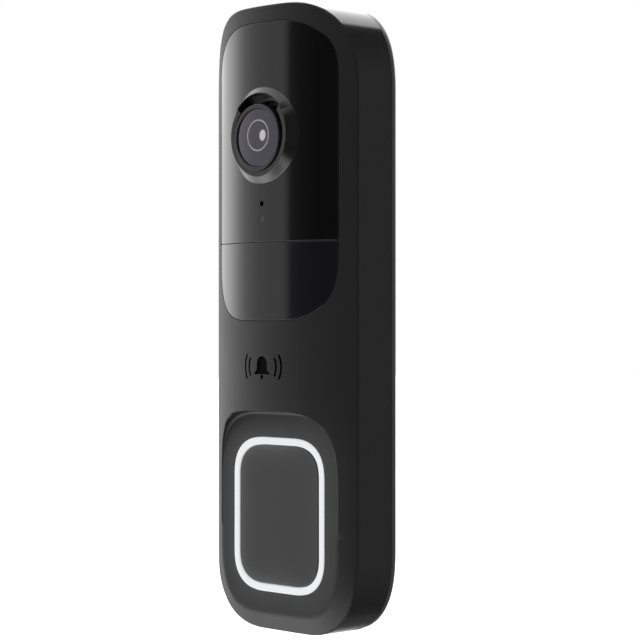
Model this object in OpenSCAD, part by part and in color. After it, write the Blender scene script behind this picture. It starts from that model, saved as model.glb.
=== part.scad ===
// Slim wired video doorbell, millimetres.
// The origin is the middle of the mounting plate's wall face.
// +Z is up, and the front of the doorbell looks along -Y.

/* [Body] */
// Height of the casing
body_h = 138.4; // [138:0.1:139]
// Width of the casing
body_w = 45.4; // [45.2:0.1:45.8]
// Distance from the wall to the middle of the bowed front face
body_d = 19.55; // [19.5:0.05:19.7]
// Radius of the bowed front face
bow_r = 39.2; // [39:0.1:40]
// Thickness of the casing's side walls in front of the sealing step
wall = 2.6; // [2.4:0.1:2.7]
// Height of the small engraved bell sign
sign_h = 6; // [4:0.5:7]

/* [Glossy panels] */
// Half the width of the two panels
panel_half_w = 18.9; // [18.5:0.1:19]
// Height of the upper end of the camera panel above the middle
panel_top = 65.5; // [65:0.1:66]
// Height of the seam between the camera panel and the sensor panel
panel_seam = 17.2; // [17:0.1:17.6]
// Height of the lower end of the sensor panel
panel_low = -0.1; // [-0.5:0.1:0]
// Thickness of both panels
panel_t = 1.4; // [1.2:0.1:1.5]

/* [Camera] */
// Height of the camera turret above the middle
turret_z = 40.56; // [40.3:0.02:40.8]
// Radius of the turret where it leaves the panel
turret_r = 10.73; // [10.6:0.01:10.8]
// Radius of the round bore in the turret
turret_bore_r = 7.8; // [7.8:0.05:7.9]
// Outer radius of the lens barrel
barrel_r = 7.3; // [7.2:0.05:7.3]
// Radius of the front glass
glass_r = 6.4; // [6.3:0.05:6.5]

/* [Button] */
// Height of the middle of the call button
button_z = -43.3; // [-43.5:0.1:-43.1]
// Half the outer width of the light ring
ring_half_w = 14.55; // [14.4:0.05:14.6]
// Half the outer height of the light ring
ring_half_h = 17.17; // [17:0.05:17.2]
// Width of the light ring's band
ring_band = 1.54; // [1.5:0.01:1.6]
// Travel of the call button
button_travel = 0.6; // [0.3:0.1:0.6]
// Distance from the wall to the flat floor of the finger recess
scoop_d = 14.6; // [14.55:0.05:14.65]

/* [Mounting plate] */
// Thickness of the mounting plate
plate_t = 1.75; // [1.7:0.05:1.8]
// Distance between the two wall screws
screw_spacing = 104; // [100:1:106]
// Radius of the holes for the wall screws
screw_hole_r = 2.1; // [1.8:0.1:2.3]

/* [Hidden] */

$fn = 96;
far = 40;
slack = 0.02;
corner_steps = 14;

half_w = body_w / 2;
half_h = body_h / 2;
bow_y = bow_r - body_d;

// Corner shapes: reach across, reach up and the power that squares them.
body_corner = [17, 20, 2.67];
panel_top_corner = [15.6, 11.9, 2.45];
panel_low_corner = [14.9, 15.2, 2.87];
scoop_top_corner = [16.65, 19.2, 3.7];
ring_corner = [10.16, 9.09, 2.58];
no_corner = [0.01, 0.01, 2];

// Front-to-back places, counted from the wall, negative to the front.
plate_gap = 0.3;
casing_back_y = -plate_t - plate_gap;
cover_back_y = casing_back_y - 0.35;
cover_t = 2.2;
cover_front_y = cover_back_y - cover_t;
gasket_y = cover_front_y - 0.05;
gasket_t = 0.9;
step_y = gasket_y - gasket_t - 0.05;
rear_wall = 1.8;
skin = 2.9;
scoop_y = -scoop_d;
scoop_floor_t = 2;
scoop_top = -20.35;
low_rim_y = -12.7;
low_border = 3.75;
low_border_spread = 0.75;

panel_gap = 0.12;
// Depth in the casing's room where cuts through the front skin end
cut_end_y = -9;
sign_z = -10.3;
sign_depth = 0.35;

// Camera stack
turret_front_y = -20.7;
turret_cone_y = -19;
turret_rim_w = 1.14;
turret_back_y = -15.6;
brow_r = 9.35;
brow_w = 0.3;
notch_half_angle = 46;
notch_floor_y = -17.6;
barrel_z = turret_z - 0.46;
barrel_front_y = -21.15;
barrel_back_y = -10.5;
barrel_bore_r = glass_r + 0.05;
glass_bulge = 0.6;
camera_window_r = turret_r + 0.25;
camera_board_y = -8;
camera_board_t = 1;
camera_board_back_y = camera_board_y + camera_board_t;
spreader_y = -6.2;
ir_board_y = -12.4;
ir_board_t = 0.8;
ir_led_x = 14;
ir_led_dz = 6;
ir_led_r = 1.6;

// Holes and sensors in the middle
mic_z = 25.6;
mic_hole_r = 0.6;
boot_r = 1.8;
light_z = 22.2;
pipe_r = 0.8;
pir_z = 8.5;
pir_window = [22, 12.6];

// Main board
board_y = -10.6;
board_t = 1;
board_back_y = board_y + board_t;
board_half_w = 15.5;
board_low = -24;
board_top = 30;

// Button stack
button_gap = 0.15;
ring_fit = 0.05;
flange_w = 1.2;
ring_back_y = -11.2;
button_board_y = -8.9;
button_board_t = 0.8;
button_back_y = button_board_y + button_board_t;
cap_t = 1.2;
cap_back_y = -12;
leg_x = 9.8;
leg_dz = 10;
leg_r = 1.2;
leg_fit = 0.1;
plunger_y = -11.2;

// Speaker in the lower end
speaker_front_y = -7.8;
speaker_back_y = -4.8;
duct_wall = 0.6;

// Rear recess, where the two bell wires arrive
recess_half_w = 12;
recess_low = 6;
recess_top = 22;
recess_y = -8;
recess_wall = 1.2;
terminal_x = 4.6;
terminal_z = recess_low + 3.9;
terminal_back_y = -3.8;

// Fasteners and latches; a screw's size is its head's radius and thickness and its shank's radius
board_screw = [1.5, 0.9, 0.7];
casing_screw = [1.95, 1.1, 0.9];
terminal_screw = [2.2, 1, 1.25];
board_hole_r = 0.95;
board_pilot_r = 0.75;
casing_screw_sink = 1.2;
casing_screw_places = [[16.6, 57], [17.9, -18], [15.2, -60.6]];
camera_screw_place = [12.5, 53];
board_screw_places = [[12.8, 27.4], [12.8, -20.6]];
button_screw_x = 17.9;
hook_x = 9;
hook_z = 60;
latch_x = 11;
latch_z = -65.4;
slot_x = 12.7;
latch_slot_y = -3.5;
latch_slot_half = [2.4, 0.5];
sound_hole_y = -6.4;
sound_hole_r = 0.6;
tamper_x = 11;
tamper_z = -4;
vent_x = -10;
vent_z = -4;

// ---------- shared shapes ----------

function squared(value, power) = sign(value) * pow(abs(value), 2 / power);

function corner(centre, shape, start) = [
    for (i = [0:corner_steps])
        let (angle = start + 90 * i / corner_steps)
        [centre[0] + shape[0] * squared(cos(angle), shape[2]),
         centre[1] + shape[1] * squared(sin(angle), shape[2])]
];

// Closed outline in X and Z with one corner shape at the top and one at the bottom.
function outline(hw, low, top, low_corner, top_corner) = concat(
    corner([hw - top_corner[0], top - top_corner[1]], top_corner, 0),
    corner([top_corner[0] - hw, top - top_corner[1]], top_corner, 90),
    corner([low_corner[0] - hw, low + low_corner[1]], low_corner, 180),
    corner([hw - low_corner[0], low + low_corner[1]], low_corner, 270)
);

function shrink(shape, inset) = [shape[0] - inset, shape[1] - inset, shape[2]];

function body_outline(inset) = outline(half_w - inset, inset - half_h, half_h - inset,
    shrink(body_corner, inset), shrink(body_corner, inset));

function ring_outline(inset) = [
    for (point = outline(ring_half_w - inset, inset - ring_half_h, ring_half_h - inset,
        shrink(ring_corner, inset), shrink(ring_corner, inset)))
        [point[0], point[1] + button_z]
];

function panel_outline(inset) = outline(panel_half_w - inset, panel_low + inset,
    panel_top - inset, shrink(panel_low_corner, inset), shrink(panel_top_corner, inset));

function scoop_outline(grow) = outline(panel_half_w + grow, -far * 2, scoop_top + grow,
    no_corner, shrink(scoop_top_corner, -grow));

// Stands a flat shape drawn in X and Z up between two depths.
module slab(front, back) {
    translate([0, back, 0])
        rotate([90, 0, 0])
        linear_extrude(back - front)
        children();
}

// A box between two corners.
module block(low, high) {
    translate(low)
        cube(high - low);
}

// A round bar along Y at a place in X and Z.
module bar(place, front, back, radius) {
    translate([place[0], back, place[1]])
        rotate([90, 0, 0])
        cylinder(r = radius, h = back - front);
}

// A ring along Y.
module tube(place, front, back, radius, hole) {
    difference() {
        bar(place, front, back, radius);
        bar(place, front - 1, back + 1, hole);
    }
}

// The cylinder whose side is the bowed front face, moved in by an inset.
module bow(inset) {
    translate([0, bow_y, -far * 2])
        cylinder(r = bow_r - inset, h = far * 4, $fn = 240);
}

// The part of a flat shape that lies between two depths under the bowed face.
module bowed_sheet(outer, inner) {
    difference() {
        intersection() {
            slab(-far, 0)
                children();
            bow(outer);
        }
        bow(inner);
    }
}

module both_sides() {
    children();
    mirror([1, 0, 0])
        children();
}

// A pan-head screw pointing to the front, with a cross recess in its head.
// Its size is the head's radius, the head's thickness and the shank's radius.
module screw(place, seat, size, length) {
    head_r = size[0];
    head_t = size[1];
    shank_r = size[2];
    slot_w = head_r * 0.3;
    slot_l = head_r * 1.2;
    slot_d = head_t * 0.6;
    difference() {
        union() {
            bar(place, seat, seat + head_t, head_r);
            bar(place, seat - length, seat + slack, shank_r);
        }
        for (slot = [[slot_w, slot_l], [slot_l, slot_w]])
            translate([place[0], seat + head_t, place[1]])
                cube([slot[0], slot_d * 2, slot[1]], center = true);
    }
}

// ---------- outer pieces ----------

module bell_sign() {
    dome_r = sign_h * 0.27;
    shoulder_z = sign_h * 0.12;
    translate([0, sign_z]) {
        translate([0, shoulder_z])
            circle(r = dome_r);
        polygon([[-dome_r, shoulder_z], [dome_r, shoulder_z],
            [dome_r * 1.05, -shoulder_z], [dome_r * 1.7, -sign_h * 0.27],
            [-dome_r * 1.7, -sign_h * 0.27], [-dome_r * 1.05, -shoulder_z]]);
        translate([0, -sign_h * 0.37])
            circle(r = sign_h * 0.08);
        for (side = [-1, 1])
            for (step = [0, 1])
                sound_arc(side, sign_h * (0.68 + 0.24 * step));
    }
}

// One arc beside the bell.
module sound_arc(side, radius) {
    reach = 28;
    stroke = sign_h * 0.09;
    intersection() {
        difference() {
            circle(r = radius + stroke);
            circle(r = radius);
        }
        polygon([[0, 0], [side * far, -far * tan(reach)], [side * far, far * tan(reach)]]);
    }
}

// Solid outer form: bowed front, with a border that slopes to the rim round the lower end.
module casing_form() {
    intersection() {
        slab(-far, casing_back_y)
            polygon(body_outline(0));
        bow(0);
        union() {
            hull() {
                slab(low_rim_y, casing_back_y)
                    polygon(lower_end(0));
                slab(scoop_y, casing_back_y)
                    polygon(lower_end(low_border));
            }
            block([-far, -far, button_z], [far, casing_back_y, far * 2]);
        }
    }
}

// The lower end of the body outline, wide enough at its sides to leave the bow alone.
function lower_end(inset) = outline(half_w + low_border_spread - inset, inset - half_h, 0,
    shrink(body_corner, inset), no_corner);

// Room inside the casing.
module casing_room() {
    difference() {
        union() {
            intersection() {
                slab(-far, casing_back_y + 1)
                    polygon(body_outline(wall));
                bow(skin);
            }
            slab(step_y, casing_back_y + 1)
                polygon(body_outline(rear_wall));
        }
        slab(-far, scoop_y + scoop_floor_t)
            polygon(scoop_outline(scoop_floor_t));
    }
}

module casing_bosses() {
    both_sides() {
        for (place = casing_screw_places)
            bar(place, -13.4, cover_front_y - slack, 2.1);
        bar(camera_screw_place, -15, camera_board_y - slack, 1.9);
        for (place = board_screw_places)
            bar(place, -14.4, board_y - slack, 1.9);
        bar([button_screw_x, button_z], -13.4, button_board_y - slack, 1.7);
    }
}

module casing_cuts() {
    // finger recess round the button
    slab(-far, scoop_y)
        polygon(scoop_outline(0));
    // bed for the two glossy panels
    difference() {
        slab(-far, cut_end_y)
            polygon(panel_outline(-panel_gap));
        bow(panel_t + 0.05);
    }
    // windows behind the panels
    bar([0, turret_z], -far, cut_end_y, camera_window_r);
    both_sides()
        for (dz = [-ir_led_dz, ir_led_dz])
            bar([ir_led_x, turret_z + dz], -far, cut_end_y, ir_led_r + 0.5);
    bar([0, mic_z], -far, cut_end_y, boot_r + 0.1);
    bar([0, light_z], -far, cut_end_y, pipe_r + 0.1);
    slab(-far, cut_end_y)
        translate([0, pir_z])
        square(pir_window, center = true);
    // opening for the light ring and the button
    slab(-far, cut_end_y)
        polygon(ring_outline(-ring_fit));
    // bell sign
    difference() {
        slab(-far, cut_end_y)
            bell_sign();
        bow(sign_depth);
    }
    // release slots and sound outlets in the lower wall
    for (side = [-1, 1])
        block([side * slot_x - latch_slot_half[0], latch_slot_y - latch_slot_half[1], -half_h - 1],
            [side * slot_x + latch_slot_half[0], latch_slot_y + latch_slot_half[1],
            -half_h + 4.4]);
    for (x = [-4:2:4])
        translate([x, sound_hole_y, -half_h - 1])
            cylinder(r = sound_hole_r, h = 5);
}

module boss_pilots() {
    both_sides() {
        for (place = casing_screw_places)
            bar(place, -10.6, 0, 0.95);
        bar(camera_screw_place, -12.6, 0, board_pilot_r);
        for (place = board_screw_places)
            bar(place, -13.4, 0, board_pilot_r);
        bar([button_screw_x, button_z], -11.9, 0, board_pilot_r);
    }
}

module front_casing() {
    color("#26272a")
        difference() {
            union() {
                difference() {
                    casing_form();
                    casing_room();
                }
                casing_bosses();
            }
            casing_cuts();
            boss_pilots();
        }
}

module camera_panel() {
    color("#0b0b0d")
        difference() {
            bowed_sheet(0, panel_t)
                intersection() {
                    polygon(panel_outline(0));
                    translate([-far, panel_seam])
                        square(far * 2);
                }
            bar([0, turret_z], -far, 0, turret_r + 0.05);
            bar([0, mic_z], -far, 0, mic_hole_r);
            bar([0, light_z], -far, 0, pipe_r);
        }
}

module sensor_panel() {
    color("#0d0d10")
        bowed_sheet(0, panel_t)
            intersection() {
                polygon(panel_outline(0));
                translate([-far, panel_seam - panel_gap - far * 2])
                    square(far * 2);
            }
}

// The turret's ring, with a cone from the panel up to a rim of this radius.
module turret_cone(rim_r) {
    translate([0, turret_back_y, turret_z])
        rotate([90, 0, 0])
        rotate_extrude()
        polygon([[turret_bore_r, 0], [turret_r, 0],
            [turret_r, turret_back_y - turret_cone_y],
            [rim_r, turret_back_y - turret_front_y],
            [turret_bore_r, turret_back_y - turret_front_y]]);
}

// The notch at the top is cut from inside, under a brow that reaches further out.
module lens_turret() {
    color("#121214")
        difference() {
            union() {
                turret_cone(turret_bore_r + turret_rim_w);
                intersection() {
                    turret_cone(brow_r);
                    slab(-far, turret_cone_y + 1)
                        notch_wedge(far);
                }
            }
            slab(-far, notch_floor_y)
                intersection() {
                    notch_wedge(far);
                    translate([0, turret_z])
                        circle(r = brow_r - brow_w);
                }
        }
}

// The part of a circle round the turret's axis that the notch takes.
module notch_wedge(reach) {
    side = reach * sin(notch_half_angle);
    rise = reach * cos(notch_half_angle);
    translate([0, turret_z])
        polygon([[0, 0], [side, rise], [-side, rise]]);
}

// ---------- camera ----------

module lens_barrel() {
    place = [0, barrel_z];
    color("#17181a")
        difference() {
            bar(place, barrel_front_y, barrel_back_y, barrel_r);
            bar(place, -far, -17.4, barrel_bore_r);
            bar(place, -17.5, -14.4, 5.4);
            bar(place, -14.5, 0, 4.2);
        }
}

module lens_glass() {
    place = [0, barrel_z];
    dome_r = (glass_r * glass_r + glass_bulge * glass_bulge) / (2 * glass_bulge);
    apex_y = barrel_front_y - 0.1;
    color("#221b33")
        intersection() {
            bar(place, -far, -19.9, glass_r);
            translate([0, apex_y + dome_r, barrel_z])
                sphere(r = dome_r, $fn = 200);
        }
}

module lens_retainer() {
    color("#9a9aa2")
        tube([0, barrel_z], -19.6, -19.3, 6.2, 3.4);
}

module lens_elements() {
    color("#2b2440") {
        bar([0, barrel_z], -19.2, -17.5, 5.9);
        bar([0, barrel_z], -17, -15, 5.3);
        bar([0, barrel_z], -13.6, -12, 4.1);
    }
}

module lens_holder() {
    place = [0, barrel_z];
    color("#1d1d1f")
        difference() {
            union() {
                bar(place, turret_back_y + 0.2, -9.4, barrel_r + 0.9);
                block([-9, -9.6, barrel_z - 9], [9, camera_board_y, barrel_z + 9]);
            }
            bar(place, -far, barrel_back_y + 0.1, barrel_r + 0.05);
            block([-5, -11, barrel_z - 5], [5, camera_board_y + 1, barrel_z + 5]);
        }
}

module image_sensor() {
    color("#3c4046") {
        block([-4, camera_board_y - 0.6, barrel_z - 3.5], [4, camera_board_y, barrel_z + 3.5]);
        block([-3, camera_board_y - 0.9, barrel_z - 2.2],
            [3, camera_board_y - 0.6, barrel_z + 2.2]);
    }
}

module camera_board() {
    color("#1f5136")
        difference() {
            block([-15, camera_board_y, 31], [15, camera_board_back_y, 55]);
            both_sides()
                bar(camera_screw_place, -far, 0, board_hole_r);
        }
}

// Ribbon between the camera board and the main board.
module camera_flex() {
    ribbon_w = 8;
    ribbon_t = 0.2;
    back = camera_board_back_y;
    color("#b9772b") {
        block([-ribbon_w / 2, back, 29], [ribbon_w / 2, back + ribbon_t, 33]);
        block([-ribbon_w / 2, board_back_y, 29], [ribbon_w / 2, back + ribbon_t, 29 + ribbon_t]);
        block([-ribbon_w / 2, board_back_y, 24.5],
            [ribbon_w / 2, board_back_y + ribbon_t, 29 + ribbon_t]);
    }
}

module ir_board() {
    color("#1f5136")
        difference() {
            block([-16, ir_board_y, 31.4], [16, ir_board_y + ir_board_t, 50.2]);
            bar([0, barrel_z], -far, 0, barrel_r + 1.3);
        }
}

module ir_leds() {
    color("#5a2430")
        both_sides()
            for (dz = [-ir_led_dz, ir_led_dz])
                bar([ir_led_x, turret_z + dz], ir_board_y - 1.8, ir_board_y, ir_led_r);
}

module thermal_pad() {
    color("#8fa3b4")
        block([-7, camera_board_back_y, 34.5], [7, spreader_y, 47.5]);
}

module heat_spreader() {
    color("#b4b7ba")
        block([-14, spreader_y, 34], [14, spreader_y + 1, 51]);
}

// ---------- sensors in the middle ----------

module pir_lens() {
    groove_step = 1.8;
    color("#d8d8d2")
        difference() {
            bowed_sheet(panel_t, panel_t + 1)
                translate([0, pir_z])
                square([pir_window[0] - 0.4, pir_window[1] - 0.4], center = true);
            // Fresnel grooves on the back
            for (x = [-4:4])
                block([x * groove_step - 0.15, -17.3, pir_z - 5.4],
                    [x * groove_step + 0.15, -9, pir_z + 5.4]);
        }
}

module pir_sensor() {
    color("#a9a9ad")
        difference() {
            union() {
                bar([0, pir_z], -14.6, board_y, 4.1);
                bar([0, pir_z], board_y - 0.5, board_y, 4.6);
            }
            block([-2, -far, pir_z - 1.6], [2, -14.3, pir_z + 1.6]);
        }
}

module mic_boot() {
    color("#202022")
        difference() {
            bar([0, mic_z], panel_t + 0.05 - body_d, board_y - 1, boot_r);
            bar([0, mic_z], -far, 0, mic_hole_r);
        }
}

module microphone() {
    color("#c0a058")
        block([-1.9, board_y - 1, mic_z - 1.4], [1.9, board_y, mic_z + 1.4]);
}

module light_pipe() {
    color("#7d8288")
        bar([0, light_z], -body_d + 0.06, board_y - 0.8, pipe_r - slack);
}

module light_sensor() {
    color("#2e2f33")
        block([-1, board_y - 0.8, light_z - 1], [1, board_y, light_z + 1]);
}

// ---------- main board ----------

module main_board() {
    color("#1f5136")
        difference() {
            block([-board_half_w, board_y, board_low], [board_half_w, board_back_y, board_top]);
            both_sides()
                for (place = board_screw_places)
                    bar(place, -far, 0, board_hole_r);
        }
}

module processor_shield() {
    color("#9da1a5")
        difference() {
            block([-12, board_y - 2.6, -16], [12, board_y, -2]);
            block([-11.8, board_y - 2.4, -15.8], [11.8, board_y + 1, -2.2]);
            for (x = [-9:3:9])
                for (z = [-12:3:-6])
                    bar([x, z], -far, board_y - 1, 0.5);
        }
}

module radio_module() {
    color("#8d9196")
        block([-10.8, board_back_y, -22], [0, board_back_y + 2, -9]);
}

module antenna() {
    color("#c8833a")
        block([-19.4, -10.4, -10], [-18.9, -6, 20]);
}

module power_inductor() {
    color("#3a3a3c")
        difference() {
            block([2, board_back_y, -20], [9, board_back_y + 3.6, -13]);
            bar([5.5, -16.5], board_back_y + 2.8, 0, 2.4);
        }
}

module filter_capacitors() {
    color("#2c3f63")
        for (x = [-3.4, 3.4])
            bar([x, -4], board_back_y, board_back_y + 4.4, 3);
}

module board_screws() {
    color("#8b8d91")
        both_sides() {
            screw(camera_screw_place, camera_board_back_y, board_screw, 4.4);
            for (place = board_screw_places)
                screw(place, board_back_y, board_screw, 3.2);
            screw([button_screw_x, button_z], button_back_y, board_screw, 3.2);
        }
}

// ---------- call button ----------

module light_guide() {
    color("#f4f6fa")
        difference() {
            union() {
                slab(scoop_y - 0.1, ring_back_y)
                    polygon(ring_outline(0));
                slab(ring_back_y - 0.7, ring_back_y)
                    polygon(ring_outline(-flange_w));
            }
            slab(-far, 0)
                polygon(ring_outline(ring_band));
        }
}

module ring_gasket() {
    color("#303236")
        difference() {
            slab(scoop_y + scoop_floor_t + slack, ring_back_y - 0.75)
                polygon(ring_outline(-flange_w));
            slab(-far, 0)
                polygon(ring_outline(-0.1));
        }
}

function led_places() = concat(
    [for (side = [-1, 1]) for (dz = [-6, 6])
        [side * (ring_half_w - ring_band / 2), button_z + dz]],
    [for (side = [-1, 1]) for (x = [-4, 4])
        [x, button_z + side * (ring_half_h - ring_band / 2)]]
);

// White channel that carries the light to the ring.
module led_reflector() {
    color("#e9eaec")
        difference() {
            slab(ring_back_y + 0.05, button_board_y - 0.05)
                polygon(ring_outline(-0.85));
            slab(-far, 0)
                polygon(ring_outline(ring_band + 0.85));
            difference() {
                slab(-far, button_board_y - 0.3)
                    polygon(ring_outline(0));
                slab(-far, 0)
                    polygon(ring_outline(ring_band));
            }
            for (place = led_places())
                block([place[0] - 0.75, -far, place[1] - 0.75],
                    [place[0] + 0.75, 0, place[1] + 0.75]);
        }
}

module ring_leds() {
    color("#fff7d6")
        for (place = led_places())
            block([place[0] - 0.7, button_board_y - 0.7, place[1] - 0.7],
                [place[0] + 0.7, button_board_y, place[1] + 0.7]);
}

module button_board() {
    color("#1f5136")
        difference() {
            union() {
                slab(button_board_y, button_back_y)
                    polygon(ring_outline(-0.8));
                block([-19.4, button_board_y, button_z - 2.1],
                    [19.4, button_back_y, button_z + 2.1]);
            }
            both_sides() {
                bar([button_screw_x, button_z], -far, 0, board_hole_r);
                for (dz = [-leg_dz, leg_dz])
                    bar([leg_x, button_z + dz], -far, 0, leg_r + leg_fit);
            }
        }
}

module switch_body() {
    color("#2a2b2e")
        difference() {
            block([-3, button_board_y - 1.6, button_z - 3], [3, button_board_y, button_z + 3]);
            bar([0, button_z], -far, button_board_y - 0.2, 1.55);
        }
}

module switch_plunger() {
    color("#c9b27a")
        bar([0, button_z], plunger_y, plunger_y + 1.4, 1.5);
}

module button_cap() {
    inset = ring_band + button_gap;
    color("#3b3d40")
        difference() {
            union() {
                slab(scoop_y, cap_back_y)
                    polygon(ring_outline(inset));
                both_sides()
                    for (dz = [-leg_dz, leg_dz])
                        bar([leg_x, button_z + dz], scoop_y + 1, button_back_y + 0.8, leg_r);
                both_sides()
                    for (dz = [-leg_dz, leg_dz])
                        bar([leg_x, button_z + dz], button_back_y + 0.1,
                            button_back_y + 0.8, leg_r + 0.7);
                bar([0, button_z], scoop_y + 1, plunger_y - 0.05, 2);
            }
            difference() {
                slab(scoop_y + cap_t, cap_back_y + 1)
                    polygon(ring_outline(inset + cap_t));
                both_sides()
                    for (dz = [-leg_dz, leg_dz])
                        bar([leg_x, button_z + dz], -far, 0, leg_r);
                bar([0, button_z], -far, 0, 2);
            }
        }
}

// ---------- sound ----------

module speaker() {
    color("#2b2c30")
        difference() {
            slab(speaker_front_y, speaker_back_y)
                polygon(outline(7.4, -59, -37, [3, 3, 2], [3, 3, 2]));
            slab(-far, speaker_front_y + 0.4)
                polygon(outline(6, -57.6, -38.4, [2.6, 2.6, 2], [2.6, 2.6, 2]));
        }
}

module speaker_duct() {
    color("#232427")
        difference() {
            block([-6, speaker_front_y, -66.4], [6, speaker_back_y, -59.1]);
            block([-5.2, speaker_front_y + duct_wall, -67], [5.2, speaker_back_y - duct_wall, -60]);
        }
}

// ---------- rear ----------

module seal_gasket() {
    color("#2f3a44")
        difference() {
            slab(gasket_y - gasket_t, gasket_y)
                polygon(body_outline(rear_wall + 0.05));
            slab(-far, 0)
                polygon(body_outline(wall));
        }
}

module rear_cover() {
    color("#1b1c1e")
        difference() {
            union() {
                slab(cover_front_y, cover_back_y)
                    polygon(body_outline(rear_wall + 0.15));
                block([-recess_half_w - recess_wall, recess_y - recess_wall,
                    recess_low - recess_wall],
                    [recess_half_w + recess_wall, cover_back_y - 1, recess_top + recess_wall]);
            }
            block([-recess_half_w, recess_y, recess_low], [recess_half_w, 0, recess_top]);
            cover_pockets();
            both_sides()
                for (place = casing_screw_places) {
                    bar(place, -far, 0, 1);
                    bar(place, cover_back_y - casing_screw_sink, 0, 2.1);
                }
            bar([tamper_x, tamper_z], -far, 0, leg_r + leg_fit);
            bar([vent_x, vent_z], -far, 0, 1.5);
        }
}

// Shallow pockets for the wall screws' heads, the plate's hooks and its latches.
module cover_pockets() {
    pocket_y = cover_back_y - 1.7;
    for (side = [-1, 1]) {
        bar([0, side * screw_spacing / 2], pocket_y + 0.1, 0, 4.6);
        block([side * hook_x - 3.4, pocket_y, hook_z - 1.9],
            [side * hook_x + 3.4, 0, hook_z + 1.9]);
        block([side * latch_x - 2.7, pocket_y, -half_h], [side * latch_x + 2.7, 0, latch_z + 1.2]);
    }
}

module casing_screws() {
    color("#8b8d91")
        both_sides()
            for (place = casing_screw_places)
                screw(place, cover_back_y - casing_screw_sink, casing_screw, 6.4);
}

module terminal_block() {
    color("#2e3033")
        difference() {
            block([-9, recess_y, recess_low + 0.4], [9, terminal_back_y, recess_low + 7.4]);
            both_sides()
                bar([terminal_x, terminal_z], -7.4, 0, 1.3);
            // slot under each screw for a bare wire
            for (x = [-terminal_x, terminal_x])
                block([x - 1.5, -5.6, terminal_z + 0.1], [x + 1.5, -4.2, recess_low + 8]);
        }
}

module terminal_screws() {
    color("#b59a58")
        both_sides()
            screw([terminal_x, terminal_z], terminal_back_y, terminal_screw, 3.4);
}

module breather_vent() {
    color("#c7cacd")
        bar([vent_x, vent_z], cover_front_y - 0.3, cover_front_y, 3);
}

module tamper_switch() {
    color("#2a2b2e")
        block([tamper_x - 1.9, board_back_y, tamper_z - 1.9],
            [tamper_x + 1.9, board_back_y + 1.4, tamper_z + 1.9]);
}

// A small coil spring round the tamper plunger, as one closed tube along a helix.
module tamper_spring() {
    turns = 3;
    ring_count = turns * 14;
    sides = 6;
    wire_r = 0.13;
    coil_r = 1.55;
    start_y = -8.03;
    length = 1.28;
    points = [
        for (i = [0:ring_count])
            let (turn = i / ring_count * turns * 360)
            for (k = [0:sides - 1])
                let (reach = coil_r + wire_r * cos(k * 360 / sides))
                [tamper_x + reach * cos(turn),
                 start_y + length * i / ring_count + wire_r * sin(k * 360 / sides),
                 tamper_z + reach * sin(turn)]
    ];
    walls = [
        for (i = [0:ring_count - 1])
            for (k = [0:sides - 1])
                [i * sides + k, i * sides + (k + 1) % sides,
                 (i + 1) * sides + (k + 1) % sides, (i + 1) * sides + k]
    ];
    first = [[for (k = [0:sides - 1]) sides - 1 - k]];
    last = [[for (k = [0:sides - 1]) ring_count * sides + k]];
    color("#b9bcc0")
        polyhedron(points = points, faces = concat(walls, first, last));
}

module tamper_plunger() {
    place = [tamper_x, tamper_z];
    color("#d5d6d8") {
        bar(place, -8.1, -plate_t - 0.1, leg_r);
        bar(place, -6.5, -6, 2);
    }
}

// ---------- mounting plate ----------

module mounting_plate() {
    edge_inset = 0.15;
    edge_round = 0.7;
    color("#303134")
        difference() {
            union() {
                hull() {
                    slab(-plate_t, -edge_round)
                        polygon(body_outline(edge_inset));
                    slab(-plate_t, 0)
                        polygon(body_outline(edge_inset + edge_round));
                }
                for (side = [-1, 1]) {
                    block([side * hook_x - 3, -4, hook_z - 1.5],
                        [side * hook_x + 3, -plate_t + slack, hook_z + 1.5]);
                    block([side * latch_x - 2.2, -4, latch_z - 0.6],
                        [side * latch_x + 2.2, -plate_t + slack, latch_z + 0.6]);
                }
            }
            block([-recess_half_w - 1, -far, recess_low - 1], [recess_half_w + 1, 1, recess_top + 1]);
            for (side = [-1, 1])
                bar([0, side * screw_spacing / 2], -far, 1, screw_hole_r);
        }
}

mounting_plate();
front_casing();
camera_panel();
sensor_panel();
lens_turret();
lens_barrel();
lens_glass();
lens_retainer();
lens_elements();
lens_holder();
image_sensor();
camera_board();
camera_flex();
ir_board();
ir_leds();
thermal_pad();
heat_spreader();
pir_lens();
pir_sensor();
mic_boot();
microphone();
light_pipe();
light_sensor();
main_board();
processor_shield();
radio_module();
antenna();
power_inductor();
filter_capacitors();
light_guide();
ring_gasket();
led_reflector();
ring_leds();
button_board();
switch_body();
switch_plunger();
button_cap();
speaker();
speaker_duct();
board_screws();
seal_gasket();
rear_cover();
casing_screws();
terminal_block();
terminal_screws();
breather_vent();
tamper_switch();
tamper_spring();
tamper_plunger();
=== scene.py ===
"""The looks of a slim video doorbell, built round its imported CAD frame.

Lengths in the helpers are millimetres in the row frame; Shape.build turns them into metres.
The front is told as a height: how far a point of the front stands out from the wall, along -Y.
"""

import math

import bpy
import numpy as np
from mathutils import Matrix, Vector, geometry


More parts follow.
